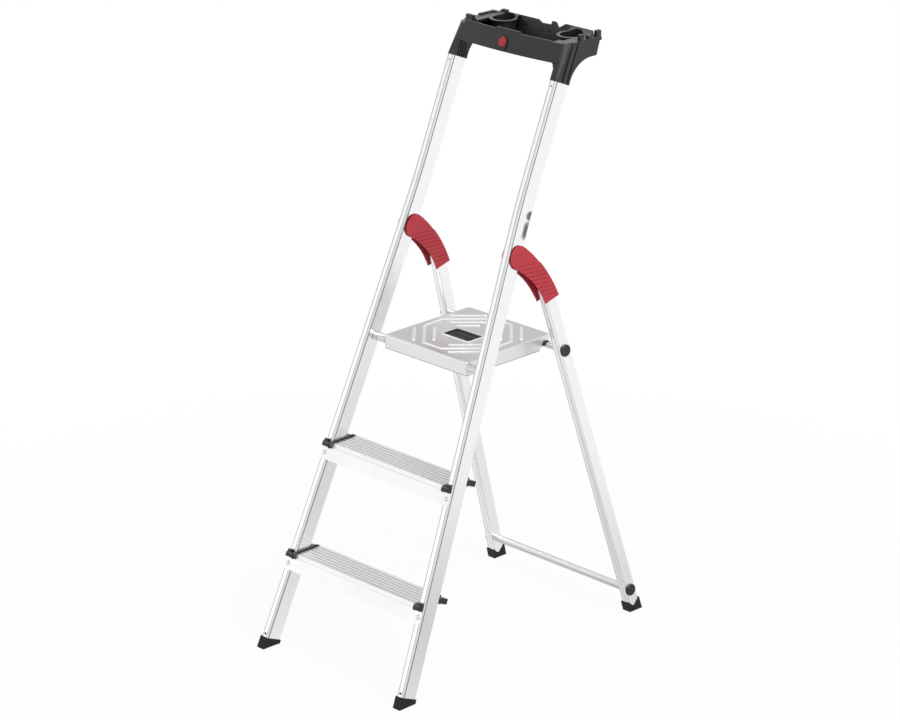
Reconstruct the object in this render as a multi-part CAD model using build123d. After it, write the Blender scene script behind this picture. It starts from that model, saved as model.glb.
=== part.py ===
from build123d import *
import os
from math import atan, cos, degrees, radians, sin, tan

# Folding platform step-ladder. Sizes in millimetres, angles in degrees.
# X runs across the ladder, Y from the climber to the rear legs, Z up from the floor.
# "Run" is the distance along a stile from the floor, "depth" the distance behind the stile fronts.

# Stance and heights
stile_lean = 23.1
leg_lean = 15.9
floor_half_width = 217.4
rail_half_width = 156.7
bend_height = 952.0
bend_radius = 2500.0
first_tread = 196.0
tread_rise = 225.0
rail_top = 1195.5

# Clearances
seat_gap = 0.15
running_gap = 0.05
moving_gap = 0.3

# Share of a raised edge's height that is rounded
crown = 0.85

# Stile and leg tubes
stile_width = 18.5
stile_depth = 39.0
leg_width = 17.6
leg_depth = 32.0
tube_wall = 1.5
tube_corner = 3.6
groove_inset = 4.5
groove_width = 1.2
groove_cut = 0.5
crimp_radius = 14.0
crimp_sink = 2.6
crimp_inset = 7.0
crimp_drop = 52.0
crimp_length = 24.0
crimp_step = 19.0

# Rear leg hinge
hinge_height = 851.0
hinge_inset = 28.3
leg_offset = 56.3
pin_radius = 5.0
arm_gap = 1.4
arm_thickness = 1.5
arm_head_radius = 12.0
arm_width = 13.0
arm_setback = 10.0
arm_margin = 4.0
cover_wall = 1.6
cover_head_radius = 24.6
cover_head_setback = 2.3
cover_head_rise = 0.9
cover_length = 126.0
cover_overlap = 26.0
cover_front_lip = 4.7
cover_back_lip = 2.5
cover_head_back = 34.0
cover_head_front = 225.0
cover_rib_height = 0.6
cover_rib_width = 7.6
cover_rib_pitch = 9.4
cover_rib_count = 9
cover_rib_start = 9.0
cover_rib_tilt = 19.0
cover_edge = 1.0
hinge_rivet_radius = 2.5
hinge_rivet_pitch = 11.0
leg_trim = 8.0
washer_radius = 9.0
washer_thickness = 0.6

# Treads
tread_back = 66.0
tread_plate = 2.0
tread_flange = 22.0
apron_height = 33.0
apron_plate = 2.0
nose_height = 9.0
nose_reach = 10.8
tread_groove_count = 6
tread_groove_pitch = 9.8
tread_groove_width = 1.6
tread_groove_cut = 0.7
cap_wall = 2.6
cap_rise = 4.0
cap_skirt = 16.0
bump_height = 17.0
bump_shoulder = 11.0
bump_top_width = 11.0
bump_top_round = 3.0
front_bump = 12.0
bump_inset = 2.0
bump_round = 4.5
rear_bump_height = 12.0
rear_bump_rise = 3.0
rivet_head_radius = 4.6
rivet_head_height = 2.2
rivet_shank_radius = 2.4
rivet_drop = 21.5

# Platform
platform_width = 244.0
platform_depth = 245.0
platform_sheet = 2.0
platform_rim = 30.0
platform_rear_rim = 13.0
platform_front_corner = 5.0
platform_rear_corner = 12.0
platform_edge_radius = 3.5
rim_cut_start = 36.0
rim_cut_run = 15.0
bead_height = 2.4
bead_width = 7.0
bead_inset = 21.5
bead_diagonal = 83.0
bead_spacing = 21.0
bead_length = 78.0
rear_bead_length = 50.0
insert_width = 75.0
insert_depth = 42.0
insert_forward = 14.3
insert_sink = 0.2
insert_flange = 4.0
insert_corner = 4.0
insert_flange_height = 2.0
insert_border = 3.0
insert_recess = 0.8
insert_bar_length = 22.0
insert_bar_width = 5.0
insert_bar_height = 0.6
insert_bar_spacing = 15.0
collar_width = 4.5
collar_height = 1.6
axle_radius = 7.0
axle_wall = 1.5
axle_end_gap = 1.0
axle_drop = 14.0
axle_inset = 24.4
axle_setback = 9.0
bush_radius = 9.0
bush_sleeve = 1.6
bush_grip = 5.0

# Rear tube and lower crossbar
rear_tube_radius = 6.5
rear_tube_wall = 1.5
crossbar_height = 50.0
crossbar_tall = 17.0
crossbar_thick = 12.0
crossbar_wall = 1.5
crossbar_corner = 5.0
crossbar_groove = 0.8
crossbar_groove_height = 2.4
crossbar_groove_end = 3.0
tube_end_inset = 1.0
end_cap_radius = 13.0
end_cap_height = 4.5
end_cap_edge = 2.5
end_cap_stem = 14.0
end_cap_overlap = 2.0
clip_width = 17.0
clip_shell = 2.2
clip_overhang = 3.0
clip_below = 1.0
clip_tongue_inset = 3.0
clip_tongue_front = 8.0
clip_tongue_back = 6.0
clip_mouth_length = 40.0
clip_mouth_turn = 25.0

# Feet
foot_lip = 1.6
front_foot_rim = 25.0
front_tube_end = 22.0
rear_ground_gap = 7.0
foot_plug = 24.0
rear_rim_front = 15.0
rear_rim_middle = 1.0
rear_rim_back = 11.0
rear_rim_flat = 3.0
rear_rim_dip_start = 12.0
rear_rim_dip_end = 17.0
lug_rise = 8.0
lug_width = 6.0
lug_height = 4.5
sole_notch = 2.2
sole_notch_cut = 1.2
sole_notch_pitch = 5.0
sole_notch_count = 6

# Tray
tray_rise = 75.5
tray_height = 43.0
tray_wall = 2.6
tray_bow = 10.0
tray_rear_reach = 101.0
tray_rear_lean = 18.0
tray_corner = 5.0
sleeve_wall = 0.8
sleeve_web = 10.0
spigot_length = 40.0
front_corner_low = 5.0
front_corner_high = 36.0
corner_fill_width = 14.0
corner_fill_depth = 9.0
flute_cut = 2.0
inner_flute_count = 5
inner_flute_width = 2.6
inner_flute_pitch = 6.0
inner_flute_start = 8.0
inner_flute_length = 34.0
# Flutes on the outer side of a tray leg: depth and width.
outer_flutes = ((9.0, 10.0), (30.0, 3.5))
gusset_reach = 62.0
gusset_sag = 13.0
cup_spacing = 97.0
cup_radius = 23.5
cup_wall = 3.0
cup_flange_radius = 30.5
cup_flange_height = 3.0
cup_setback = 28.4
deck_drop = 8.5
deck_thickness = 5.0
deck_start = 23.0
deck_slope = 14.0
front_deck = 16.0
left_end_drop = 10.5
right_end_drop = 5.5
left_end_inside = -134.0
right_end_inside = 134.0
rim_reach = 170.0
rim_step = 3.5
# Rim of the front wall and of the rear wall: X and drop below the tray's top.
front_rim = ((-130.0, left_end_drop), (-127.0, rim_step), (-36.0, rim_step), (-33.0, 0.0), (33.0, 0.0))
front_rim += ((36.0, rim_step), (118.0, rim_step), (122.0, right_end_drop))
rear_rim = ((left_end_inside, left_end_drop), (-131.0, rim_step), (-20.0, rim_step), (-9.0, 8.5), (17.0, 7.5))
rear_rim += ((17.5, 0.5), (29.0, 0.5), (37.0, 8.5), (41.0, 9.0), (55.0, 0.0))
rear_rim += ((131.0, 0.0), (right_end_inside, right_end_drop))
hook_width = 8.7
hook_root = 14.0
hook_round = 2.0
# Hooks on the tray's ends: side, distance behind the rim's front, length and rise above the tray's top.
end_hooks = ((-1, 58.0, 12.0, -6.5), (-1, 75.0, 26.0, -7.0))
end_hooks += ((1, 37.0, 10.0, 7.0), (1, 60.0, 10.0, 1.5), (1, 85.0, 12.0, 7.5))
# Hooks on the tray's rear wall: left edge, length and rise.
rear_hooks = ((-157.0, 14.0, -7.0), (-125.0, 15.0, 1.0))
rest_left = -142.0
rest_length = 20.0
rest_setback = 7.0
rest_depth = 7.0
rest_rise = 4.0
wall_hole_radius = 1.8
wall_hole_drop = 21.0
wall_hole_floor = 0.8
wall_holes = (-6.0, 16.0)
badge_radius = 10.2
badge_thickness = 1.6
badge_shift = -4.5
badge_tab_width = 24.0
badge_tab_rise = 2.0
badge_height = 14.0
tray_pin_radius = 1.8
tray_pin_drop = 11.0
tray_pin_sink = 0.6
tray_pin_length = 9.0

# Worked-out angles and places
lean = radians(stile_lean)
back_lean = radians(leg_lean)
bend_run = bend_height / cos(lean)
splay_tan = (floor_half_width - rail_half_width) / bend_run
splay = degrees(atan(splay_tan))
bend_reach = bend_radius * tan(radians(splay) / 2)
platform_top = first_tread + 2 * tread_rise
tray_top = rail_top + tray_rise
far = 3000.0

front_frame = Rot(-stile_lean, 0, 0)


def front_y(height, depth=0.0):
    """Y of the plane of the stile fronts at a height, moved back by a depth."""
    return height * tan(lean) + depth / cos(lean)


def run_at(height, depth=0.0):
    """Run along the stile at which a point of this depth has this height."""
    return (height + depth * sin(lean)) / cos(lean)


def outer_x(run):
    """Outer face of the right stile at a run."""
    return rail_half_width + max(bend_run - run, 0.0) * splay_tan


def inner_x(run):
    """Inner face of the right stile at a run."""
    return outer_x(run) - stile_width


def middle_x(run):
    """Centre of the right stile at a run."""
    return outer_x(run) - stile_width / 2


def bend_share(run):
    """Share of the splay that the stile still has at a run, as the bend takes it up."""
    share = (bend_run + bend_reach - run) / (2 * bend_reach)
    return min(max(share, 0.0), 1.0)


def stile_x(run):
    """Centre of the right stile at a run, along the curve of the bend."""
    curve = bend_reach * splay_tan * bend_share(run) ** 2
    return max(middle_x(run), middle_x(bend_run) + curve)


def block(low, high):
    """Box between two opposite corners."""
    size = [b - a for a, b in zip(low, high)]
    middle = [(a + b) / 2 for a, b in zip(low, high)]
    return Pos(*middle) * Box(*size)


def rod(radius, start, end):
    """Round bar along X between two X values, on the X axis."""
    return Pos((start + end) / 2, 0, 0) * Rot(0, 90, 0) * Cylinder(radius, end - start)


def side_plate(points, half):
    """Outline in Y and Z, extruded to both sides of X = 0."""
    return extrude(Plane.YZ * make_face(Polyline(*points, close=True)), amount=half, both=True)


def other_side(part):
    return mirror(part, about=Plane.YZ)


def group(*solids):
    return Compound(children=[solid for part in solids for solid in part.solids()])


# Joint axes
pivot_run = run_at(hinge_height, hinge_inset)
pivot_y = front_y(hinge_height, hinge_inset)
pivot_x = stile_x(pivot_run)
axle_z = platform_top - axle_drop
axle_y = front_y(axle_z, axle_inset)
axle_run = run_at(axle_z, axle_inset)
platform_front = axle_y - axle_setback
platform_back = platform_front + platform_depth
platform_middle = (platform_front + platform_back) / 2
rear_tube_z = platform_top - platform_rear_rim - moving_gap - rear_tube_radius


def leg_line_y(height):
    """Y of the leg's centre line at a height."""
    return pivot_y + leg_offset / cos(back_lean) + (hinge_height - height) * tan(back_lean)


rear_tube_y = leg_line_y(rear_tube_z)
crossbar_y = leg_line_y(crossbar_height)

# Frame of the right leg: origin on the hinge axis, Z up along the leg, X square to the leg's side.
leg_frame = Pos(pivot_x, pivot_y, hinge_height) * Rot(leg_lean, 0, 0) * Rot(0, -splay, 0)
leg_front = leg_offset - leg_depth / 2
leg_back = leg_offset + leg_depth / 2


def leg_run(height, depth):
    """Place along the leg, below the hinge, of a point of this depth at this height."""
    return (height - hinge_height - depth * sin(back_lean)) / cos(back_lean) / cos(radians(splay))


def leg_x(run):
    """Centre of the right leg at a run below the hinge."""
    return pivot_x - run * tan(radians(splay))


def leg_face_x(height):
    """Outer face of the right leg, on its centre line, at a height."""
    return leg_x(leg_run(height, leg_offset)) + leg_width / 2


leg_end = leg_run(rear_ground_gap, leg_front)
leg_top = -(cover_length - cover_overlap)

# Origin in the middle of the stance, so that toe and heel lie equally far from it.
toe_y = front_y(0, -foot_lip)
heel_y = leg_line_y(0) + (leg_depth / 2 + foot_lip) / cos(back_lean)
stand = Pos(0, -(toe_y + heel_y) / 2, 0)

below_floor = block((-far, -far, -far), (far, far, 0))

# Frame of the lower part of the right stile: Z along the tube, Y its depth.
stile_frame = front_frame * Pos(middle_x(0), 0, 0) * Rot(0, -splay, 0)


def tube_profile(width, depth):
    """Hollow rounded section with a fine groove on both sides of each front corner."""
    profile = RectangleRounded(width, depth, tube_corner)
    profile -= RectangleRounded(width - 2 * tube_wall, depth - 2 * tube_wall, tube_corner - tube_wall)
    for side in (-1, 1):
        groove = Rectangle(2 * groove_cut, groove_width)
        profile -= Pos(side * width / 2, groove_inset - depth / 2) * groove
        groove = Rectangle(groove_width, 2 * groove_cut)
        profile -= Pos(side * (width / 2 - groove_inset), -depth / 2) * groove
    return profile


def make_stile():
    """Right stile: splayed below the bend, upright in its plane above it."""
    middle = stile_depth / 2
    foot = (middle_x(front_tube_end), middle, front_tube_end)
    bend = (middle_x(bend_run), middle, bend_run)
    top = (middle_x(bend_run), middle, run_at(rail_top))
    path = FilletPolyline(foot, bend, top, radius=bend_radius)
    across = (cos(radians(splay)), 0, sin(radians(splay)))
    start = Plane(origin=path @ 0, x_dir=across, z_dir=path % 0)
    tube = sweep(start * tube_profile(stile_width, stile_depth), path=path)
    bar = sweep(start * RectangleRounded(stile_width, stile_depth, tube_corner), path=path)
    # The outer side is crimped inwards above the hinge, with the wall following the dent.
    tube += bar & crimp(tube_wall)
    tube -= crimp()
    tube = front_frame * tube
    # Holes for the hinge pin, the platform axle, the tread rivets, the foot's lug and the tray's pin.
    tube -= Pos(pivot_x, pivot_y, hinge_height) * rod(pin_radius, -stile_width, stile_width)
    tube -= Pos(middle_x(axle_run), axle_y, axle_z) * rod(axle_radius, -stile_width, 0)
    for tread in (first_tread, first_tread + tread_rise):
        tube -= rivet_place(tread) * Cylinder(rivet_shank_radius, 4 * tube_wall)
    tube -= foot_lug(stile_frame, front_tube_end)
    return tube - tray_pin_place() * Cylinder(tray_pin_radius, 4 * tube_wall)


def crimp(grow=0.0):
    """Dent in the outer side of the right stile near its rear, a short round one above a longer one."""
    run = run_at(bend_height - crimp_drop, stile_depth)
    radius = crimp_radius + grow
    side = outer_x(run) + crimp_radius - crimp_sink
    place = Pos(side, stile_depth - crimp_inset, run) * Rot(0, -splay, 0)
    dent = Cylinder(radius, crimp_length)
    for end in (-crimp_length / 2, crimp_length / 2, crimp_length / 2 + crimp_step):
        dent += Pos(0, 0, end) * Sphere(radius)
    return place * dent


def foot_lug(frame, tube_end, front=0.0):
    """Snap lug on the front of a foot's plug, which shows in a window of the tube."""
    low = tube_end + lug_rise
    half = lug_width / 2
    return frame * block((-half, front, low), (half, front + 2 * tube_wall, low + lug_height))


def tray_pin_place():
    """Place on the right stile's front of the pin through the tray's spigot, Z pointing out."""
    run = run_at(rail_top) - tray_pin_drop
    return front_frame * Pos(middle_x(run), 0, run) * Rot(90, 0, 0)


def make_tray_pin():
    """Right pin, sunk a little below the stile's front."""
    return tray_pin_place() * Pos(0, 0, -tray_pin_sink - tray_pin_length / 2) * Cylinder(
        tray_pin_radius, tray_pin_length
    )


def rivet_place(tread):
    """Place of a rivet on the right stile's front, its axis square to the apron."""
    run = run_at(tread - rivet_drop)
    return front_frame * Pos(middle_x(run), 0, run) * Rot(90, 0, 0)


def foot_plug_block(width, depth, front, low, high):
    """Plug inside a tube's end, its corners rounded to clear the tube's."""
    half = width / 2 - tube_wall - seat_gap
    inset = tube_wall + seat_gap
    plug = block((-half, front + inset, low), (half, front + depth - inset, high))
    return fillet(plug.edges().filter_by(Axis.Z), tube_corner)


def sole_notches(centre, front, back, half):
    """Small teeth along both sides of a sole."""
    middle = (front + back) / 2
    notch = Box(2 * sole_notch_cut, sole_notch, 2 * sole_notch)
    notches = []
    for side in (-1, 1):
        for index in range(sole_notch_count):
            y = middle + (index - (sole_notch_count - 1) / 2) * sole_notch_pitch
            notches.append(Pos(centre + side * half, y, 0) * notch)
    return notches


def make_front_foot():
    """Right front boot, with a plug inside the stile."""
    half = stile_width / 2 + foot_lip
    boot = block((-half, -foot_lip, -front_foot_rim), (half, stile_depth + foot_lip, front_foot_rim))
    boot = fillet(boot.edges().filter_by(Axis.Z), foot_lip)
    tube = block((-stile_width / 2, 0, front_tube_end), (stile_width / 2, stile_depth, far))
    boot -= tube
    boot += foot_plug_block(stile_width, stile_depth, 0, front_tube_end, front_tube_end + foot_plug)
    boot = stile_frame * boot
    boot += foot_lug(stile_frame, front_tube_end)
    boot -= below_floor
    for notch in sole_notches(middle_x(0), 0, stile_depth / cos(lean), half):
        boot -= notch
    return boot


def make_rear_foot():
    """Right rear boot, whose rim dips to a V on both sides."""
    half = leg_width / 2 + foot_lip
    front = leg_front - foot_lip
    back = leg_back + foot_lip
    below = leg_end - leg_depth
    outline = [
        (front, leg_end + rear_rim_front),
        (leg_front + rear_rim_flat, leg_end + rear_rim_front),
        (leg_front + rear_rim_dip_start, leg_end + rear_rim_middle),
        (leg_front + rear_rim_dip_end, leg_end + rear_rim_middle),
        (back, leg_end + rear_rim_back),
        (back, below),
        (front, below),
    ]
    boot = side_plate(outline, half)
    boot -= block((-leg_width / 2, leg_front, leg_end), (leg_width / 2, leg_back, far))
    boot += foot_plug_block(leg_width, leg_depth, leg_front, leg_end, leg_end + foot_plug)
    boot = leg_frame * boot
    boot += foot_lug(leg_frame, leg_end + foot_plug / 2 - lug_rise, leg_front)
    boot -= below_floor
    low = leg_line_y(0)
    for notch in sole_notches(leg_x(leg_end), low - leg_depth / 2, low + leg_depth / 2, half):
        boot -= notch
    return boot


def make_leg():
    """Right rear leg, its top end trimmed to nest in the hinge cover."""
    length = leg_top - leg_end
    leg = extrude(tube_profile(leg_width, leg_depth), amount=length)
    leg = Pos(0, leg_offset, leg_end) * leg
    trim_end = leg_top - cover_overlap - cover_back_lip
    trim = [(leg_back - leg_trim, leg_top), (leg_back, leg_top), (leg_back, trim_end)]
    leg -= side_plate(trim, leg_width)
    for rivet in hinge_rivets():
        leg -= rivet
    leg -= foot_lug(Pos(0, 0, 0), leg_end + foot_plug / 2 - lug_rise, leg_front)
    leg = leg_frame * leg
    leg -= Pos(0, rear_tube_y, rear_tube_z) * rod(rear_tube_radius, 0, far)
    leg -= Pos(0, crossbar_y, crossbar_height) * Rot(leg_lean, 0, 0) * crossbar_solid(0, far)
    return leg


def hinge_rivets():
    """Rivets of the right hinge, in the leg's frame."""
    reach = stile_width / 2 + arm_gap + arm_thickness
    middle = leg_top - cover_overlap / 2
    rivets = []
    for step in (-0.5, 0.5):
        place = Pos(0, leg_front + arm_setback + arm_width / 2, middle + step * hinge_rivet_pitch)
        rivets.append(place * rod(hinge_rivet_radius, -reach, reach))
    return rivets


def make_hinge_arm(side):
    """Flat plate from the hinge pin to the leg; side is +1 outside the stile and -1 inside it."""
    low = -(cover_length - arm_margin)
    front = leg_front + arm_setback
    back = front + arm_width
    tongue = Polyline((front, leg_top), (back, leg_top), (back, low), (front, low), close=True)
    shape = Circle(arm_head_radius) + make_face(tongue)
    face = Plane.YZ * make_hull(shape.edges())
    near = stile_width / 2 + arm_gap
    arm = Pos(side * (near + arm_thickness / 2), 0, 0) * extrude(face, amount=arm_thickness / 2, both=True)
    for rivet in hinge_rivets():
        arm -= rivet
    arm = leg_frame * arm
    arm -= Pos(pivot_x, pivot_y, hinge_height) * rod(pin_radius + running_gap, -far, far)
    return arm


def make_hinge_shims():
    """Shims that fill the space between the right leg and its two hinge arms."""
    near = leg_width / 2
    reach = stile_width / 2 + arm_gap
    front = leg_front + arm_setback
    low = -(cover_length - arm_margin)
    shims = []
    for side in (-1, 1):
        x = sorted((side * near, side * reach))
        shim = block((x[0], front, low), (x[1], front + arm_width, leg_top - arm_margin / 2))
        for rivet in hinge_rivets():
            shim -= rivet
        shims.append(leg_frame * shim)
    return shims


def on_circle(radius, angle, middle=(0.0, 0.0)):
    return (middle[0] + radius * cos(radians(angle)), middle[1] + radius * sin(radians(angle)))


def cover_face(grow=0.0, front_grow=None):
    """Side outline of the hinge cover in the leg's frame: round head, bent arm, square end."""
    if front_grow is None:
        front_grow = grow
    radius = cover_head_radius + grow
    middle = (cover_head_setback, cover_head_rise)
    head_back = on_circle(radius, cover_head_back, middle)
    head_top = on_circle(radius, (cover_head_back + cover_head_front) / 2, middle)
    head_front = on_circle(radius, cover_head_front, middle)
    end_front = (leg_front - cover_front_lip - front_grow, -cover_length)
    end_back = (leg_back + cover_back_lip + grow, -cover_length)
    return make_face([
        ThreePointArc(head_back, head_top, head_front),
        TangentArc(head_front, end_front, tangent=on_circle(1.0, cover_head_front + 90)),
        Line(end_front, end_back),
        TangentArc(head_back, end_back, tangent=on_circle(1.0, cover_head_back - 90)),
    ])


def cover_room():
    """Space between the cover's cheeks: open on the hollow side, and clear of the stile behind the head."""
    arm = cover_face(-cover_wall)
    arm += Pos(-3 * cover_wall, -2 * cover_wall) * arm
    behind = stile_depth - hinge_inset + 2 * moving_gap
    stile = Rot(0, 0, -stile_lean - leg_lean) * Pos(behind - far / 2, 0) * Rectangle(far, far)
    return arm + stile


def make_hinge_cover():
    """Right hinge cover: two cheeks joined by a web along the back, with ribs across the arm."""
    inside = stile_width / 2 + arm_gap + arm_thickness
    half = inside + cover_wall
    cover = extrude(Plane.YZ * cover_face(), amount=half, both=True)
    cover = fillet(cover.edges().filter_by(GeomType.CIRCLE), cover_edge)
    ribbed = cover_face(cover_rib_height, 0.0)
    proud = extrude(Plane.YZ * ribbed, amount=half + cover_rib_height, both=True)
    for index in range(cover_rib_count):
        low = -cover_length + cover_rib_start + cover_rib_pitch * index
        slab = Rot(-cover_rib_tilt, 0, 0) * Box(far, far, cover_rib_width)
        cover += proud & (Pos(0, leg_offset, low) * slab)
    cover -= extrude(Plane.YZ * cover_room(), amount=inside, both=True)
    return leg_frame * cover


def make_hinge_pin():
    """Right hinge pin, held by the stile, turning in both hinge arms."""
    reach = stile_width / 2 + arm_gap + arm_thickness - 2 * moving_gap
    return Pos(pivot_x, pivot_y, hinge_height) * rod(pin_radius, -reach, reach)


def make_hinge_washers():
    """Washers on both faces of the right stile, between it and the hinge arms."""
    place = front_frame * Pos(pivot_x, hinge_inset, pivot_run) * Rot(0, -splay * bend_share(pivot_run), 0)
    bore = Pos(pivot_x, pivot_y, hinge_height) * rod(pin_radius, -far, far)
    near = stile_width / 2
    washers = []
    for side in (-1, 1):
        x = sorted((side * near, side * (near + washer_thickness)))
        washers.append(place * rod(washer_radius, x[0], x[1]) - bore)
    return washers


def tread_profile(tread):
    """Cross-section of a tread in Y and Z, with the part of its apron between the stiles."""
    bottom = tread - apron_height
    nose = tread - nose_height
    back = front_y(tread) + tread_back
    face = -apron_plate
    nose_back = front_y(nose, face) + nose_reach
    outside = [
        Line((front_y(bottom, face), bottom), (front_y(nose, face), nose)),
        TangentArc((front_y(nose, face), nose), (nose_back, tread), tangent=(tan(lean), 1)),
        Polyline((nose_back, tread), (back, tread), (back, tread - tread_flange)),
        Polyline(
            (back, tread - tread_flange),
            (back - tread_plate, tread - tread_flange),
            (back - tread_plate, tread - tread_plate),
            (front_y(nose) + nose_height, tread - tread_plate),
            (front_y(nose), nose),
            (front_y(bottom), bottom),
            (front_y(bottom, face), bottom),
        ),
    ]
    return make_face(outside)


def tread_half(tread):
    """Half the length of a tread between its two end caps."""
    back_run = (front_y(tread) + tread_back) * sin(lean) + tread * cos(lean)
    return inner_x(back_run) - cap_wall


def make_step(tread):
    """Grooved tread, whose apron runs across the fronts of both stiles."""
    step = extrude(Plane.YZ * tread_profile(tread), amount=tread_half(tread), both=True)
    low = run_at(tread - apron_height, -apron_plate)
    high = run_at(tread - nose_height, -apron_plate)
    corners = [(-outer_x(low), low), (outer_x(low), low), (outer_x(high), high), (-outer_x(high), high)]
    apron = extrude(Plane.XZ * make_face(Polyline(*corners, close=True)), amount=apron_plate)
    step += front_frame * apron
    back = front_y(tread) + tread_back
    for index in range(tread_groove_count):
        y = back - tread_groove_pitch * (index + 1)
        groove = Box(far, tread_groove_width, 2 * tread_groove_cut)
        step -= Pos(0, y, tread) * groove
    hole = rivet_place(tread) * Cylinder(rivet_shank_radius, 8 * apron_plate)
    return step - hole - other_side(hole)


def rounded_block(low, high, radius):
    """Box whose edges along X and Z are rounded."""
    solid = block(low, high)
    return fillet(solid.edges().filter_by(Axis.Z) + solid.edges().filter_by(Axis.X), radius)


def make_step_cap(tread):
    """Right end cap: a plate at the tread's end with a bump before and behind the stile."""
    inside = tread_half(tread)
    folded_leg = hinge_inset + leg_front
    plate_outline = [
        (front_y(tread, -front_bump / 2), tread + cap_rise),
        (front_y(tread) + tread_back - 2 * cap_rise, tread + cap_rise),
        (front_y(tread) + tread_back, tread),
        (front_y(tread) + tread_back, tread - cap_skirt),
        (front_y(tread - cap_skirt), tread - cap_skirt),
        (front_y(tread - nose_height), tread - nose_height),
        (front_y(tread - nose_height, -front_bump / 2), tread - nose_height),
    ]
    plate = side_plate(plate_outline, inside + 2 * stile_width)
    plate -= block((-far, -far, -far), (inside, far, far))
    plate -= stile_frame * block((-stile_width / 2, -far, -far), (far, far, far))
    low = run_at(tread - nose_height, -apron_plate) + seat_gap
    outside = outer_x(low) - bump_inset
    front = rounded_block((inside, -front_bump, low), (outside, 0, low + bump_shoulder), bump_round)
    top_x = outside - bump_inset
    top_low = (top_x - bump_top_width, bump_inset - front_bump, low)
    front += rounded_block(top_low, (top_x, 0, low + bump_height), bump_top_round)
    rear_run = run_at(tread - cap_skirt / 2, (stile_depth + folded_leg) / 2)
    rear_low = rear_run - rear_bump_height / 2 + rear_bump_rise
    rear_high = (outside - bump_inset, folded_leg - moving_gap, rear_low + rear_bump_height)
    rear = rounded_block((inside, stile_depth, rear_low), rear_high, bump_round)
    keep = stile_frame * block((-stile_width / 2, 0, -far), (stile_width / 2, stile_depth, far))
    return plate + (front_frame * front) + (front_frame * rear) - keep


def make_step_rivets():
    """Domed rivets through the aprons into the stile fronts."""
    rivets = []
    for tread in (first_tread, first_tread + tread_rise):
        head = Pos(0, 0, apron_plate) * Cylinder(
            rivet_head_radius, rivet_head_height, align=(Align.CENTER, Align.CENTER, Align.MIN)
        )
        head = fillet(head.edges().sort_by(Axis.Z)[-1], rivet_head_height * crown)
        shank = Pos(0, 0, -2 * tube_wall) * Cylinder(
            rivet_shank_radius, 2 * tube_wall + apron_plate, align=(Align.CENTER, Align.CENTER, Align.MIN)
        )
        rivet = rivet_place(tread) * (head + shank)
        rivets += [rivet, other_side(rivet)]
    return rivets


def make_front_axle():
    """Hollow axle of the platform, from the outer wall of one stile to the other's."""
    end = outer_x(axle_run) - tube_wall - axle_end_gap
    axle = rod(axle_radius, -end, end) - rod(axle_radius - axle_wall, -far, far)
    return Pos(0, axle_y, axle_z) * axle


def bead_shapes():
    """Outlines of the deck's beads: an eight-sided ring, beads beside it, short ones at the rear."""
    half_x = platform_width / 2
    half_y = platform_depth / 2
    ring_x = half_x - bead_inset
    ring_y = half_y - bead_inset
    reach = half_x + half_y - bead_diagonal * 2 ** 0.5
    corner = [(ring_x, reach - ring_x), (reach - ring_y, ring_y)]
    points = corner + [(-x, y) for x, y in reversed(corner)]
    points += [(-x, -y) for x, y in points]
    ring = make_face(Polyline(*points, close=True))
    shapes = [offset(ring, bead_width / 2) - offset(ring, -bead_width / 2)]
    for distance in (bead_diagonal - bead_spacing, bead_diagonal + bead_spacing):
        inset = distance / 2 ** 0.5
        for side_x in (-1, 1):
            for side_y in (-1, 1):
                middle = (side_x * (half_x - inset), side_y * (half_y - inset))
                turn = -45 * side_x * side_y
                shapes.append(Pos(*middle) * Rot(0, 0, turn) * SlotOverall(bead_length, bead_width))
    inset = (bead_diagonal + 2 * bead_spacing) / 2 ** 0.5
    for side in (-1, 1):
        bead = Rot(0, 0, -45 * side) * SlotOverall(rear_bead_length, bead_width)
        shapes.append(Pos(side * (half_x - inset), half_y - inset) * bead)
    return shapes


def pan_outline(inset=0.0):
    """Plan of the pan, its rear corners rounder than its front ones."""
    deck = Rectangle(platform_width - 2 * inset, platform_depth - 2 * inset)
    deck = fillet(deck.vertices().group_by(Axis.Y)[0], platform_front_corner - inset)
    return fillet(deck.vertices().group_by(Axis.Y)[-1], platform_rear_corner - inset)


def make_platform_pan():
    """Pressed pan: flat deck with beads, a rim all round and cut-away rear corners."""
    pan = extrude(pan_outline(), amount=-platform_rim)
    pan = fillet(pan.faces().sort_by(Axis.Z)[-1].edges(), platform_edge_radius)
    pan -= Pos(0, 0, -platform_sheet) * extrude(pan_outline(platform_sheet), amount=-platform_rim)
    for shape in bead_shapes():
        bead = extrude(shape, amount=bead_height)
        top = bead.faces().sort_by(Axis.Z)[-1]
        pan += fillet(top.edges(), bead_height * crown)
    window = RectangleRounded(insert_width, insert_depth, insert_corner)
    collar_size = (insert_width + 2 * collar_width, insert_depth + 2 * collar_width)
    collar = extrude(RectangleRounded(*collar_size, insert_corner + collar_width), amount=collar_height)
    collar = fillet(collar.faces().sort_by(Axis.Z)[-1].edges(), collar_height * crown)
    pan += Pos(0, -insert_forward, 0) * collar
    pan -= Pos(0, -insert_forward, 0) * extrude(window, amount=platform_rim, both=True)
    back = platform_depth / 2
    cut = [
        (back - rim_cut_start, -platform_rim - platform_sheet),
        (back - rim_cut_start, -platform_rim),
        (back - rim_cut_start + rim_cut_run, -platform_rear_rim),
        (back + platform_sheet, -platform_rear_rim),
        (back + platform_sheet, -platform_rim - platform_sheet),
    ]
    pan -= side_plate(cut, platform_width)
    pan = Pos(0, platform_middle, platform_top) * pan
    pan -= Pos(0, axle_y, axle_z) * rod(axle_radius + bush_sleeve, -far, far)
    return pan - clip_ring(seat_gap) - other_side(clip_ring(seat_gap))


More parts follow.
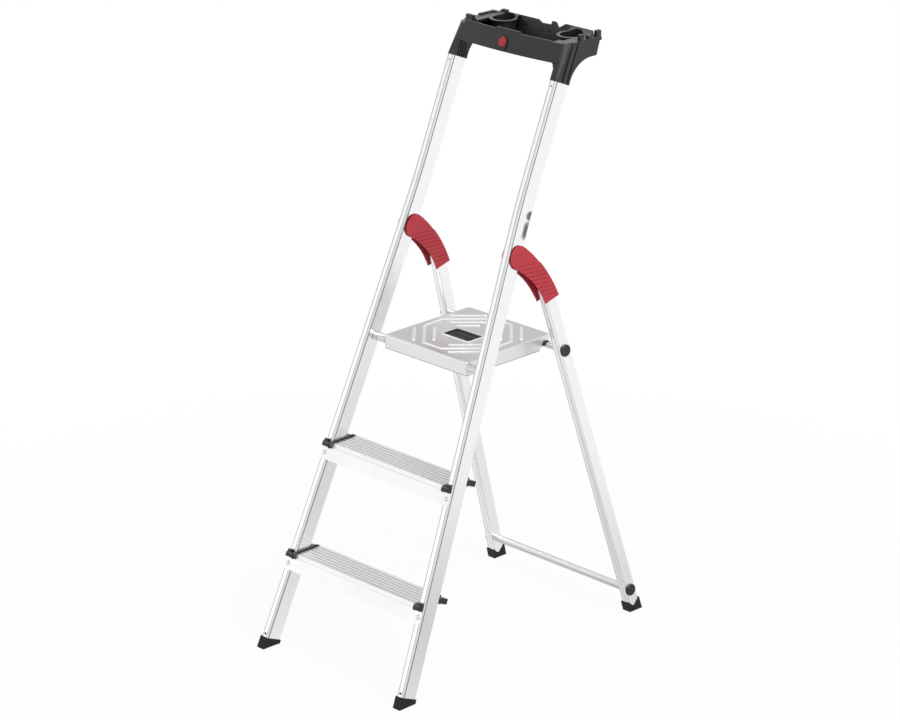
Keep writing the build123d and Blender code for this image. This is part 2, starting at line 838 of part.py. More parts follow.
def make_platform_insert():
    """Plate in the platform's window, held by a flange under the deck, with a finger recess."""
    width = insert_width - 2 * seat_gap
    depth = insert_depth - 2 * seat_gap
    low = -platform_sheet - insert_flange_height
    plug = extrude(RectangleRounded(width, depth, insert_corner), amount=low + insert_sink)
    plug = Pos(0, 0, -insert_sink) * plug
    flange = RectangleRounded(width + 2 * insert_flange, depth + 2 * insert_flange, insert_corner)
    plug += Pos(0, 0, low) * extrude(flange, amount=insert_flange_height)
    recess = RectangleRounded(width - 2 * insert_border, depth - 2 * insert_border, insert_corner)
    floor = -insert_sink - insert_recess
    plug -= extrude(recess, amount=floor)
    bar = extrude(SlotOverall(insert_bar_length, insert_bar_width), amount=insert_bar_height)
    for side in (-1, 1):
        plug += Pos(side * insert_bar_spacing, 0, floor) * bar
    return Pos(0, platform_middle - insert_forward, platform_top) * plug


def clip_ring(grow=0.0):
    """Half ring of the right clip over the rear tube, which passes through the pan's side wall."""
    outside = platform_width / 2 + clip_overhang
    radius = rear_tube_radius + moving_gap + clip_shell + grow
    ring = Pos(0, rear_tube_y, rear_tube_z) * rod(radius, outside - clip_width - grow, outside + grow)
    return ring & block((0, 0, rear_tube_z - clip_below - grow), (far, far, far))


def make_platform_clip():
    """Right clip: sits on the rear tube and opens down and forwards, the way the tube leaves it."""
    inside = platform_width / 2 + clip_overhang - clip_width
    outside = platform_width / 2 - platform_sheet - clip_tongue_inset
    top = platform_top - platform_sheet
    tongue_low = (inside, rear_tube_y - clip_tongue_front, rear_tube_z)
    clip = clip_ring() + block(tongue_low, (outside, rear_tube_y + clip_tongue_back, top))
    room = rear_tube_radius + moving_gap
    place = Pos(0, rear_tube_y, rear_tube_z)
    clip -= place * rod(room, -far, far)
    way_out = block((-far, -room, -clip_mouth_length), (far, room, 0))
    clip -= place * Rot(-clip_mouth_turn, 0, 0) * way_out
    return clip


def make_platform_bush():
    """Right bush: spacer between pan and stile, sleeve through the pan's wall, turning on the axle."""
    wall = platform_width / 2
    bush = rod(bush_radius, wall, inner_x(axle_run + bush_radius) - moving_gap)
    bush += rod(axle_radius + bush_sleeve - seat_gap, wall - platform_sheet - bush_grip, wall)
    bush -= rod(axle_radius + running_gap, 0, far)
    return Pos(0, axle_y, axle_z) * bush


def make_rear_tube():
    """Tube between the legs that carries the rear of the platform."""
    end = leg_face_x(rear_tube_z) - tube_end_inset
    tube = rod(rear_tube_radius, -end, end) - rod(rear_tube_radius - rear_tube_wall, -far, far)
    return Pos(0, rear_tube_y, rear_tube_z) * tube


def crossbar_section(grow=0.0):
    return RectangleRounded(crossbar_thick + 2 * grow, crossbar_tall + 2 * grow, crossbar_corner + grow)


def crossbar_solid(start, end, grow=0.0):
    bar = extrude(Plane.YZ * crossbar_section(grow), amount=end - start)
    return Pos(start, 0, 0) * bar


def make_lower_crossbar():
    """Flat oval tube between the legs near the rear feet, with a groove along its front and back."""
    end = leg_face_x(crossbar_height) - tube_end_inset
    inner = leg_face_x(crossbar_height) - leg_width - crossbar_groove_end
    bar = crossbar_solid(-end, end) - crossbar_solid(-far, far, -crossbar_wall)
    groove = Box(2 * inner, 2 * crossbar_groove, crossbar_groove_height)
    for side in (-1, 1):
        bar -= Pos(0, side * crossbar_thick / 2, 0) * groove
    return Pos(0, crossbar_y, crossbar_height) * Rot(leg_lean, 0, 0) * bar


def make_end_cap(height, stem):
    """Right round cap on a leg's outer face, with a stem inside the tube behind it."""
    face = leg_face_x(height)
    place = leg_frame * Pos(leg_width / 2, leg_offset, leg_run(height, leg_offset))
    cap = rod(end_cap_radius, 0, end_cap_height)
    cap = fillet(cap.edges().sort_by(Axis.X)[-1], end_cap_edge)
    plug = Pos(0, leg_line_y(height), height) * Rot(leg_lean, 0, 0) * (Pos(face, 0, 0) * stem)
    outside = leg_frame * block((leg_width / 2, -far, -far), (far, far, far))
    return place * cap + (plug - outside)


def make_rear_tube_cap():
    stem = rod(rear_tube_radius - rear_tube_wall - seat_gap, -end_cap_stem, end_cap_overlap)
    return make_end_cap(rear_tube_z, stem)


def make_crossbar_cap():
    stem = crossbar_solid(-end_cap_stem, end_cap_overlap, -crossbar_wall - seat_gap)
    return make_end_cap(crossbar_height, stem)


def tray_outline(height, inset=0.0):
    """Plan of the tray at a height: bowed front, straight ends, rear wall that leans out."""
    half = rail_half_width + sleeve_wall - inset
    front = front_y(height, -sleeve_wall) + inset
    back = front_y(tray_top) + tray_rear_reach - (tray_top - height) * tan(radians(tray_rear_lean)) - inset
    bow = ThreePointArc((-half, front), (0, front - tray_bow), (half, front))
    rest = Polyline((half, front), (half, back), (-half, back), (-half, front))
    return Pos(0, 0, height) * make_face([bow, rest])


def tray_shell():
    """Open box of the tray."""
    bottom = tray_top - tray_height
    outer = loft([tray_outline(bottom), tray_outline(tray_top)])
    upright = [edge for edge in outer.edges() if abs((edge @ 0).Z - (edge @ 1).Z) > tray_height / 2]
    outer = fillet(upright, tray_corner)
    inner = loft([tray_outline(bottom + tray_wall, tray_wall), tray_outline(tray_top + tray_wall, tray_wall)])
    return outer - inner


def tray_leg():
    """Right leg of the tray on the stile's top end, with flutes inside, a gusset behind, a web in front."""
    low = run_at(rail_top)
    high = run_at(tray_top, stile_depth + sleeve_wall)
    x = (rail_half_width - stile_width - sleeve_wall, rail_half_width + sleeve_wall)
    leg = block((x[0], -sleeve_wall, low), (x[1], stile_depth + sleeve_wall, high))
    leg = fillet(leg.edges().filter_by(Axis.Z), tube_corner)
    for index in range(inner_flute_count):
        depth = inner_flute_start + inner_flute_pitch * index
        flute_high = (x[0] + flute_cut, depth + inner_flute_width, low + inner_flute_length)
        leg -= block((x[0] - flute_cut, depth, low - flute_cut), flute_high)
    spigot = foot_plug_block(stile_width, stile_depth, 0, low - spigot_length, low + tray_wall)
    leg += Pos(middle_x(low), 0, 0) * spigot
    bottom = tray_top - tray_height
    # Behind the tray's rounded front corner its wall is thicker.
    fill_low = (x[0] - corner_fill_width, 0, run_at(bottom) + tray_wall)
    leg += block(fill_low, (x[0] + tray_wall, corner_fill_depth, high))
    leg = front_frame * leg - make_tray_pin()
    start_depth = stile_depth + sleeve_wall
    start = (low * sin(lean) + start_depth * cos(lean), low * cos(lean) - start_depth * sin(lean))
    end = (start[0] + gusset_reach, bottom)
    top = (start[0], bottom + tray_wall)
    curve = SagittaArc(start, end, gusset_sag)
    gusset = make_face([curve, Polyline(end, (end[0], top[1]), top, start)])
    gusset = Pos(x[0], 0, 0) * extrude(Plane.YZ * gusset, amount=x[1] - x[0])
    corner_run = run_at(bottom, -sleeve_wall)
    middle = (x[0] - sleeve_web, corner_run - sleeve_web)
    web = make_face([
        ThreePointArc((x[0], middle[1]), on_circle(sleeve_web, 45, middle), (middle[0], corner_run)),
        Polyline(
            (middle[0], corner_run),
            (middle[0], corner_run + tray_wall),
            (x[0] + tube_corner, corner_run + tray_wall),
            (x[0] + tube_corner, middle[1]),
            (x[0], middle[1]),
        ),
    ])
    web = Pos(0, tray_wall - sleeve_wall, 0) * extrude(Plane.XZ * web, amount=tray_wall)
    return leg + gusset + front_frame * web


def front_corner(run, radius, inset):
    """All that lies outside the tray's rounded right front corner and end, moved in by an inset."""
    edge = rail_half_width + sleeve_wall
    middle = (edge - radius, radius - sleeve_wall)
    bow = tray_bow * cos(lean) * (1 - (middle[0] / edge) ** 2)
    side = radius - inset
    front = radius + bow - inset
    start = (middle[0], middle[1] - front)
    end = (middle[0] + side, middle[1])
    half_way = (middle[0] + side * cos(radians(45)), middle[1] - front * sin(radians(45)))
    clear = 2 * stile_depth
    outside = edge + clear
    arc = ThreePointArc(start, half_way, end)
    rest = Polyline(end, (end[0], clear), (outside, clear), (outside, -clear), (start[0], -clear), start)
    return Pos(0, 0, run) * make_face([arc, rest])


def corner_cut(inset):
    """Room outside the tray's right front corner, which is rounder towards the rim."""
    low = run_at(rail_top) - tray_wall
    high = run_at(tray_top, stile_depth)
    lower = front_corner(low, front_corner_low, inset)
    upper = front_corner(high, front_corner_high, inset)
    return front_frame * loft([lower, upper])


def flute_cuts():
    """Flutes down the outer side of the tray's right leg, from the rim to the stile."""
    room = corner_cut(flute_cut)
    cuts = []
    for depth, width in outer_flutes:
        cuts.append(room & front_frame * block((0, depth, 0), (far, depth + width, far)))
    return cuts


def tray_cups():
    """Cup ring with its flange, the flat deck round it, and the hole; all at the right end."""
    bottom = tray_top - tray_height + tray_wall / 2
    front = front_y(tray_top)
    back = front + tray_rear_reach - tray_wall / 2
    y = front + tray_rear_reach - cup_setback
    high = tray_top - deck_drop
    base = (Align.CENTER, Align.CENTER, Align.MIN)
    place = Pos(cup_spacing, y, 0)
    cup = place * Pos(0, 0, bottom) * Cylinder(cup_radius + cup_wall, high - bottom, align=base)
    flange = Cylinder(cup_flange_radius, cup_flange_height, align=base)
    cup += place * Pos(0, 0, high - cup_flange_height) * flange
    cup &= block((0, 0, 0), (far, back, far))
    deck_x = (cup_spacing + deck_start, rail_half_width)
    cup += block((deck_x[0], front + front_deck, high - deck_thickness), (deck_x[1], back, high))
    front_edge = front - sleeve_wall - tray_wall / 2
    cup += block((deck_x[0], front_edge, high - deck_thickness), (deck_x[1], front + front_deck, tray_top))
    slope = [(back - deck_slope, high), (back, tray_top), (back, high)]
    slope = extrude(Plane.YZ * make_face(Polyline(*slope, close=True)), amount=2 * cup_radius + deck_start)
    cup += Pos(cup_spacing - cup_radius, 0, 0) * slope
    hole = place * Pos(0, 0, bottom + tray_wall / 2) * Cylinder(cup_radius, tray_height, align=base)
    return cup, hole


def rim_cut(profile, start, end):
    """All that lies above a rim between two Y values; the profile gives X and drop below the tray's top."""
    ends = [(-rim_reach, profile[0][1]), (rim_reach, profile[-1][1])]
    line = [(x, tray_top - drop) for x, drop in [ends[0], *profile, ends[1]]]
    line += [(rim_reach, tray_top + tray_height), (-rim_reach, tray_top + tray_height)]
    face = Plane.XZ * make_face(Polyline(*line, close=True))
    return Pos(0, start, 0) * extrude(face, amount=start - end)


def tray_hooks():
    """Hooks on the tray's ends and rear wall, and the rest on its left front corner."""
    edge = rail_half_width + sleeve_wall
    front = front_y(tray_top)
    back = front + tray_rear_reach
    low = tray_top - hook_root
    hooks = []
    for side, start, length, rise in end_hooks:
        x = sorted((side * edge, side * (edge - hook_width)))
        hooks.append(block((x[0], front + start, low), (x[1], front + start + length, tray_top + rise)))
    for start, length, rise in rear_hooks:
        hooks.append(block((start, back - hook_width, low), (start + length, back, tray_top + rise)))
    rest_y = front + rest_setback
    rest_high = (rest_left + rest_length, rest_y + rest_depth, tray_top + rest_rise)
    hooks.append(block((rest_left, rest_y, low), rest_high))
    return hooks


def badge_place():
    """Middle of the tray's front wall, Z pointing out of it."""
    run = run_at(tray_top - tray_height + badge_height, -sleeve_wall)
    return front_frame * Pos(badge_shift, -sleeve_wall - tray_bow * cos(lean), run) * Rot(90, 0, 0)


def make_tray():
    """Moulded tray on both stile tops."""
    tray = tray_shell()
    cup, hole = tray_cups()
    tray += cup + other_side(cup)
    tray += tray_leg()
    tray += other_side(tray_leg())
    tray -= hole
    tray -= other_side(hole)
    front = front_y(tray_top)
    back = front + tray_rear_reach
    front_end = front + front_deck
    rear_start = back - hook_width
    tray -= block((-far, -far, tray_top), (far, far, far))
    tray -= rim_cut(front_rim, front - far, front_end)
    tray -= rim_cut(rear_rim, rear_start, back + far)
    left_rim = [(left_end_inside, left_end_drop), (left_end_inside, -tray_wall)]
    right_rim = [(right_end_inside, -tray_wall), (right_end_inside, right_end_drop)]
    tray -= rim_cut(left_rim + right_rim, front_end, rear_start)
    for cut in [corner_cut(-moving_gap), *flute_cuts()]:
        tray -= cut
        tray -= other_side(cut)
    for hook in tray_hooks():
        tray += fillet(hook.faces().sort_by(Axis.Z)[-1].edges(), hook_round)
    half = badge_tab_width / 2
    drop = badge_height / cos(lean)
    tab = Circle(half) + Pos(0, -drop / 2) * Rectangle(badge_tab_width, drop)
    tray += badge_place() * Pos(0, 0, -tray_wall) * extrude(tab, amount=tray_wall + badge_tab_rise)
    tray -= block((-far, -far, -far), (far, front, tray_top - tray_height)) & badge_room()
    hole = Rot(90, 0, 0) * Cylinder(wall_hole_radius, tray_height)
    hole_end = back - (wall_hole_drop + wall_hole_radius) * tan(radians(tray_rear_lean)) - wall_hole_floor
    for x in wall_holes:
        tray -= Pos(x, hole_end - tray_height / 2, tray_top - wall_hole_drop) * hole
    return tray


def badge_room():
    """Space around the badge's tab."""
    return block((-badge_tab_width, -far, 0), (badge_tab_width, far, far))


def make_tray_badge():
    """Plain disc on the tray's tab."""
    disc = Cylinder(badge_radius, badge_thickness, align=(Align.CENTER, Align.CENTER, Align.MIN))
    disc = fillet(disc.edges().sort_by(Axis.Z)[-1], badge_thickness * crown)
    return badge_place() * Pos(0, 0, badge_tab_rise) * disc


def build():
    """All nodes by name."""
    nodes = {}

    def pair(name, right):
        nodes[name + "_right"] = right
        nodes[name + "_left"] = other_side(right)

    pair("stile", make_stile())
    for level, tread in (("lower", first_tread), ("upper", first_tread + tread_rise)):
        nodes["step_" + level] = make_step(tread)
        pair("step_cap_" + level, make_step_cap(tread))
    nodes["step_rivets"] = group(*make_step_rivets())
    pair("front_foot", make_front_foot())
    nodes["front_axle"] = make_front_axle()
    pair("hinge_pin", make_hinge_pin())
    washers = make_hinge_washers()
    nodes["hinge_washers"] = group(*washers, *[other_side(washer) for washer in washers])
    nodes["tray"] = make_tray()
    nodes["tray_pins"] = group(make_tray_pin(), other_side(make_tray_pin()))
    nodes["tray_badge"] = make_tray_badge()

    pair("leg", make_leg())
    for place, side in (("outer", 1), ("inner", -1)):
        arm = make_hinge_arm(side)
        nodes["hinge_arm_right_" + place] = arm
        nodes["hinge_arm_left_" + place] = other_side(arm)
    pair("hinge_cover", make_hinge_cover())
    shims = make_hinge_shims()
    nodes["hinge_shims"] = group(*shims, *[other_side(shim) for shim in shims])
    rivets = [leg_frame * rivet for rivet in hinge_rivets()]
    nodes["hinge_rivets"] = group(*rivets, *[other_side(rivet) for rivet in rivets])
    nodes["rear_tube"] = make_rear_tube()
    tube_cap = make_rear_tube_cap()
    nodes["rear_tube_caps"] = group(tube_cap, other_side(tube_cap))
    nodes["lower_crossbar"] = make_lower_crossbar()
    bar_cap = make_crossbar_cap()
    nodes["crossbar_caps"] = group(bar_cap, other_side(bar_cap))
    pair("rear_foot", make_rear_foot())

    nodes["platform_pan"] = make_platform_pan()
    nodes["platform_insert"] = make_platform_insert()
    pair("platform_clip", make_platform_clip())
    pair("platform_bush", make_platform_bush())
    return nodes


os.makedirs("parts", exist_ok=True)
for name, node in build().items():
    export_step(stand * node, "parts/" + name + ".step")
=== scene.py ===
"""Looks of the folding platform step-ladder: materials, floor, light and camera."""

from math import cos, radians, sin

import bpy
from mathutils import Matrix, Vector


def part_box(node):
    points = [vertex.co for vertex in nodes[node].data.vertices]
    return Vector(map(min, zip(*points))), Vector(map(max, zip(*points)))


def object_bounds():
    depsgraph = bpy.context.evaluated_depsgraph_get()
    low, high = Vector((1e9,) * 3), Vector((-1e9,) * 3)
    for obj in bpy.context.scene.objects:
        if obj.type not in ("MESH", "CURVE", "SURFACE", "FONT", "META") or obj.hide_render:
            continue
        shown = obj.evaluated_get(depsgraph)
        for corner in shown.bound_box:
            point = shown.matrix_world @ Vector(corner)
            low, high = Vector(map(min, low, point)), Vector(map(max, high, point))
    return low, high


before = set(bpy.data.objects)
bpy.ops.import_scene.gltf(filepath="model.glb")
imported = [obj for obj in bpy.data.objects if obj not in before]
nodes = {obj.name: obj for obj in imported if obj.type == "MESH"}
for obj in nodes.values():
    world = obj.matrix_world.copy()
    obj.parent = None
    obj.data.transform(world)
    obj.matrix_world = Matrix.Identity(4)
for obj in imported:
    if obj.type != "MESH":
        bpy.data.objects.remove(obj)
cad_low, cad_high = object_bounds()

# Stiles, radians and metres: depths are behind the front face, rises along the stile from the hinge
STILE_LEAN = radians(23.1)
SPLAY = 0.0587
HINGE_DEPTH = 0.0283
BEND_RISE = 0.0978
RAIL_MIDDLE = 0.14745

# Grooves beside the front corners of a stile: depths on its sides, distance from the middle line on its front
GROOVE_START = 0.0030
GROOVE_END = 0.0053
FRONT_GROOVE = 0.00475
GROOVE_HALF = 0.0006
FRONT_SKIN = 0.0007

# Dents above the hinge: depth of the middle, half width, rise and half length of each, and end of their
# painted shade
DENT_DEPTH = 0.034
DENT_WIDE = 0.0085
DENTS = ((0.058, 0.020), (0.089, 0.011))
DENT_SIDE_POWER = 2
DENT_END_POWER = 4
DENT_FADE = 1.2

# Rear legs, treads and platform
LEG_LEAN = radians(15.9)
APRON_EDGE = 0.006
TREAD_GROOVE = 0.0007
GROOVE_FLOOR = 1.5 * TREAD_GROOVE
GROOVE_LIP = TREAD_GROOVE / 3
BEAD_HEIGHT = 0.0024
BEAD_FOOT = BEAD_HEIGHT / 5
EDGE_LINE = 0.0016

# Half widths of the soft edges of masks
SOFT_EDGE = 0.0003
FINE_EDGE = 0.0001
WIDE_EDGE = 0.001

# Painted shade in hollows: reach of the search for near walls, and how open a place is where the shade is
# full and where it ends
HOLLOW_REACH = 0.006
HOLLOW_SAMPLES = 8
METAL_HOLLOW = (0.25, 0.85)
PLASTIC_HOLLOW = (0.30, 0.90)

# Usual lowest and highest value of noise, and height of the finest relief
NOISE_LOW = 0.3
NOISE_HIGH = 0.7
BUMP_HEIGHT = 0.0001

# Camera that matches the photograph: angles, place in metres, lens and sensor in millimetres
CAMERA_AZIMUTH = radians(46.2347)
CAMERA_ELEVATION = radians(20.1043)
CAMERA_ROLL = radians(-0.5875)
CAMERA_PLACE = (4.928287, -4.717885, 3.099619)
CAMERA_LENS = 141.0346
SENSOR_WIDTH = 36.0
CAMERA_REACH = 100.0

# Lamps: a large one high on the right, and a weak one low at the front left
KEY_PLACE = (3.3, -0.4, 3.6)
KEY_SIZE = 3.0
KEY_WATTS = 105
FRONT_PLACE = (-2.7, -3.0, 0.7)
FRONT_TARGET = (0, -0.2, 0.3)
FRONT_SIZE = 1.6
FRONT_WATTS = 3

# Surroundings: level as light, and a grey zone that level metal mirrors, with cosines of edge and middle
WORLD_LIGHT = 0.60
ZONE_DIRECTION = (-0.68, 0.65, 0.34)
ZONE_LEVEL = 0.74
ZONE_EDGE = 0.78
ZONE_CORE = 0.95

# Floor: half width, height just under the feet, two pale greys of its clouds, and roughness
FLOOR_HALF = 14.0
FLOOR_HEIGHT = -0.0005
FLOOR_DARK = (0.88, 0.88, 0.88)
FLOOR_LIGHT = (0.92, 0.92, 0.92)
FLOOR_CLOUDS = 2.0
FLOOR_ROUGH = 0.9

# Share of plain white near the ladder, with the distances at which it starts to rise and is full
FLOOR_MIDDLE = (0, 0, 0)
FLOOR_WHITE = 0.92
WHITE_REACH = (0.3, 1.6)

# Level of the floor in reflections, with painted shade beside the ladder and white further off
REFLECTED_SHADE_MIDDLE = (0.55, 0.05, 0)
REFLECTED_SHADE_NEAR = 0.66
FLOOR_FAR = 1.0
REFLECTED_SHADE_REACH = (0.15, 1.1)


# Shader helpers

def new_material(name):
    """Empty Principled material with its node tree and shader."""
    material = bpy.data.materials.new(name)
    material.use_nodes = True
    tree = material.node_tree
    return material, tree, tree.nodes["Principled BSDF"]


def feed(tree, value, socket):
    """Link an output to a socket, or set a plain number there."""
    if isinstance(value, bpy.types.NodeSocket):
        tree.links.new(value, socket)
    else:
        socket.default_value = value


def calculate(tree, operation, first, second):
    """Sum, product or other step with two values."""
    node = tree.nodes.new("ShaderNodeMath")
    node.operation = operation
    feed(tree, first, node.inputs[0])
    feed(tree, second, node.inputs[1])
    return node.outputs["Value"]


def measure(tree, operation, vector, fixed):
    """Dot product or distance of a vector and a fixed one."""
    node = tree.nodes.new("ShaderNodeVectorMath")
    node.operation = operation
    tree.links.new(vector, node.inputs[0])
    node.inputs[1].default_value = fixed
    return node.outputs["Value"]


def along_axis(tree, vector, axis):
    """X, Y or Z of a vector."""
    node = tree.nodes.new("ShaderNodeSeparateXYZ")
    tree.links.new(vector, node.inputs["Vector"])
    return node.outputs[axis]


def own_place(tree):
    """Place of a point in the object's own space, in metres."""
    return tree.nodes.new("ShaderNodeTexCoord").outputs["Object"]


def stretched_place(tree, turn, scale):
    """Place of a point, turned first and stretched after."""
    turned = tree.nodes.new("ShaderNodeMapping")
    turned.inputs["Rotation"].default_value = turn
    tree.links.new(own_place(tree), turned.inputs["Vector"])
    stretched = tree.nodes.new("ShaderNodeMapping")
    stretched.inputs["Scale"].default_value = scale
    tree.links.new(turned.outputs["Vector"], stretched.inputs["Vector"])
    return stretched.outputs["Vector"]


def distance_along(tree, direction, origin):
    """Distance of a point from an origin along a direction."""
    reached = measure(tree, "DOT_PRODUCT", own_place(tree), direction)
    return calculate(tree, "SUBTRACT", reached, direction.dot(origin))


def distance_from(tree, place):
    """Distance of a point from a place."""
    return measure(tree, "DISTANCE", own_place(tree), place)


def noise(tree, vector, scale, detail=3.0, rough=0.5):
    """Noise, mostly between its usual lowest and highest value."""
    node = tree.nodes.new("ShaderNodeTexNoise")
    node.inputs["Scale"].default_value = scale
    node.inputs["Detail"].default_value = detail
    node.inputs["Roughness"].default_value = rough
    tree.links.new(vector, node.inputs["Vector"])
    return node.outputs["Fac"]


def spread(tree, value, low, high, start=NOISE_LOW, end=NOISE_HIGH):
    """Value from start to end, mapped to low to high."""
    node = tree.nodes.new("ShaderNodeMapRange")
    node.inputs["From Min"].default_value = start
    node.inputs["From Max"].default_value = end
    node.inputs["To Min"].default_value = low
    node.inputs["To Max"].default_value = high
    tree.links.new(value, node.inputs["Value"])
    return node.outputs["Result"]


def beyond(tree, value, edge, soft=SOFT_EDGE):
    """0 below an edge and 1 above it, with a soft change."""
    return spread(tree, value, 0, 1, edge - soft, edge + soft)


def between(tree, value, start, end, soft=SOFT_EDGE):
    """1 between two edges, 0 outside them."""
    return calculate(tree, "SUBTRACT", beyond(tree, value, start, soft), beyond(tree, value, end, soft))


def blend(tree, factor, first, second):
    """Mix of two colours, each a triple or an output."""
    node = tree.nodes.new("ShaderNodeMix")
    node.data_type = "RGBA"
    feed(tree, factor, node.inputs["Factor"])
    for name, colour in (("A", first), ("B", second)):
        plain = isinstance(colour, tuple)
        feed(tree, (*colour, 1) if plain else colour, node.inputs[name])
    return node.outputs["Result"]


def openness(tree, limits):
    """Mask for painted shade in hollows: 1 on open surfaces, falling to 0 in the piece's own corners and
    grooves.
    """
    node = tree.nodes.new("ShaderNodeAmbientOcclusion")
    node.only_local = True
    node.samples = HOLLOW_SAMPLES
    node.inputs["Distance"].default_value = HOLLOW_REACH
    return spread(tree, node.outputs["AO"], 0, 1, *limits)


def add_bump(tree, shader, height, strength):
    """Fine relief of the finish."""
    node = tree.nodes.new("ShaderNodeBump")
    node.inputs["Strength"].default_value = strength
    node.inputs["Distance"].default_value = BUMP_HEIGHT
    tree.links.new(height, node.inputs["Height"])
    tree.links.new(node.outputs["Normal"], shader.inputs["Normal"])


# Metals: scales of the drawn lines along X, Y and Z, long along the piece and fine across it

ALONG = 6.0
ACROSS = 900.0
SIDEWAYS_LINES = (ALONG, ACROSS, ACROSS)
UPRIGHT_LINES = (ACROSS, ACROSS, ALONG)
PAN_LINES = (ACROSS, ACROSS / 3, ACROSS)

# Strength of the lines, scale of the clouds in the gloss, and how far these take the roughness down and up
LINE_ROUGH = 0.55
LINE_SHADE = 0.95
LINE_BUMP = 0.05
METAL_CLOUDS = 9.0
SMOOTHER = 0.03
ROUGHER = 0.04

# Red and green of a slightly cool grey, as shares of its blue
COOL_RED = 0.992
COOL_GREEN = 0.997

# Grey levels of the metals, and of the painted shade, dark reflection and highlights on parts of them
STILE_GREY = 0.95
CORNER_REFLECTION_GREY = 0.70
FRONT_GROOVE_SHADE_GREY = 0.40
SIDE_GROOVE_SHADE_GREY = 0.18
DENT_SHADE_GREY = 0.14
LEG_GREY = 0.94
TREAD_GREY = 0.97
APRON_SHADE_GREY = 0.80
TREAD_GROOVE_SHADE_GREY = 0.64
PAN_GREY = 0.80
RIM_SHADE_GREY = 0.40
DECK_SHADE_GREY = 0.72
BEAD_HIGHLIGHT_GREY = 0.98
BAR_GREY = 0.78
STEEL_GREY = 0.62

# Roughness of the metals, and the share of their grey that is left in hollows as painted shade
STILE_ROUGH = 0.26
LEG_ROUGH = 0.28
TREAD_ROUGH = 0.32
PAN_ROUGH = 0.30
BAR_ROUGH = 0.34
STEEL_ROUGH = 0.22
PLAIN_HOLLOW_SHADE = 0.45
TUBE_HOLLOW_SHADE = 0.75
PAN_HOLLOW_SHADE = 0.90


def grey(level):
    """Very slightly cool grey."""
    return (level * COOL_RED, level * COOL_GREEN, level)


def metal(name, level, rough, turn=(0, 0, 0), lines=SIDEWAYS_LINES, painted_light=(), hollow_shade=PLAIN_HOLLOW_SHADE):
    """Drawn metal, with grey levels of painted shade, reflection and highlight where the given masks fall,
    and a share of its grey left in hollows as painted shade.
    """
    material, tree, shader = new_material(name)
    drawn = noise(tree, stretched_place(tree, turn, lines), 1.0, rough=LINE_ROUGH)
    clouds = noise(tree, own_place(tree), METAL_CLOUDS, detail=2.0)
    colour = blend(tree, spread(tree, drawn, 0, 1), grey(level * LINE_SHADE), grey(level))
    # Painted shade, dark reflection and highlight where each mask falls
    for mask, shade in painted_light:
        colour = blend(tree, mask(tree), colour, grey(shade))
    # Painted shade: a darker grey in the piece's own hollows
    colour = blend(tree, openness(tree, METAL_HOLLOW), grey(level * hollow_shade), colour)
    feed(tree, colour, shader.inputs["Base Color"])
    feed(tree, spread(tree, clouds, rough - SMOOTHER, rough + ROUGHER), shader.inputs["Roughness"])
    add_bump(tree, shader, drawn, LINE_BUMP)
    shader.inputs["Metallic"].default_value = 1.0
    return material


# Masks of painted shade, reflection and highlight, which follow the stiles and the heights of the treads and
# the platform

pin_low, pin_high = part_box("hinge_pin_right")
hinge_axis = (pin_low + pin_high) / 2
stile_back = Vector((0, cos(STILE_LEAN), -sin(STILE_LEAN)))
stile_front = hinge_axis - stile_back * HINGE_DEPTH
stile_up = Vector((0, sin(STILE_LEAN), cos(STILE_LEAN)))
bend_point = stile_front + stile_up * BEND_RISE


def layer_mask(low, high):
    """Mask of a layer between two heights."""
    return lambda tree: between(tree, along_axis(tree, own_place(tree), "Z"), low, high, FINE_EDGE)


def stile_depth(tree):
    """Depth of a point behind the front faces of the stiles."""
    return distance_along(tree, stile_back, stile_front)


def sideways(tree):
    """Distance of a point outwards from the middle line of its stile."""
    across = calculate(tree, "ABSOLUTE", along_axis(tree, own_place(tree), "X"), 0)
    below = calculate(tree, "MULTIPLY", distance_along(tree, stile_up, bend_point), -SPLAY)
    middle = calculate(tree, "ADD", calculate(tree, "MAXIMUM", below, 0), RAIL_MIDDLE)
    return calculate(tree, "SUBTRACT", across, middle)


def from_middle(tree):
    """Distance of a point from the middle line of its stile, to either side."""
    return calculate(tree, "ABSOLUTE", sideways(tree), 0)


def corner_reflection_mask(tree):
    """Mask of the painted dark reflection on the two front corners of a stile, from the groove on the front
    to the one on the side.
    """
    front = calculate(tree, "SUBTRACT", 1.0, beyond(tree, stile_depth(tree), GROOVE_END))
    return calculate(tree, "MULTIPLY", beyond(tree, from_middle(tree), FRONT_GROOVE - GROOVE_HALF), front)


def front_groove_shade_mask(tree):
    """Mask of the painted shade in the two grooves in the front face of a stile."""
    groove = between(tree, from_middle(tree), FRONT_GROOVE - GROOVE_HALF, FRONT_GROOVE + GROOVE_HALF)
    skin = between(tree, stile_depth(tree), -FRONT_SKIN, FRONT_SKIN, FINE_EDGE)
    return calculate(tree, "MULTIPLY", groove, skin)


def side_groove_shade_mask(tree):
    """Mask of the painted shade in the grooves in the sides of a stile."""
    return between(tree, stile_depth(tree), GROOVE_START, GROOVE_END)


def dent_shade_mask(tree):
    """Mask of the painted shade in the two dents in the outer side of a stile, above the hinge."""
    depth = calculate(tree, "SUBTRACT", stile_depth(tree), DENT_DEPTH)
    wide = calculate(tree, "POWER", calculate(tree, "DIVIDE", depth, DENT_WIDE), DENT_SIDE_POWER)
    dents = 0.0
    for rise, reach in DENTS:
        run = distance_along(tree, stile_up, stile_front + stile_up * rise)
        tall = calculate(tree, "POWER", calculate(tree, "DIVIDE", run, reach), DENT_END_POWER)
        away = calculate(tree, "ADD", wide, tall)
        dents = calculate(tree, "MAXIMUM", dents, spread(tree, away, 1, 0, 0, DENT_FADE))
    outer = beyond(tree, sideways(tree), 0, WIDE_EDGE)
    return calculate(tree, "MULTIPLY", dents, outer)


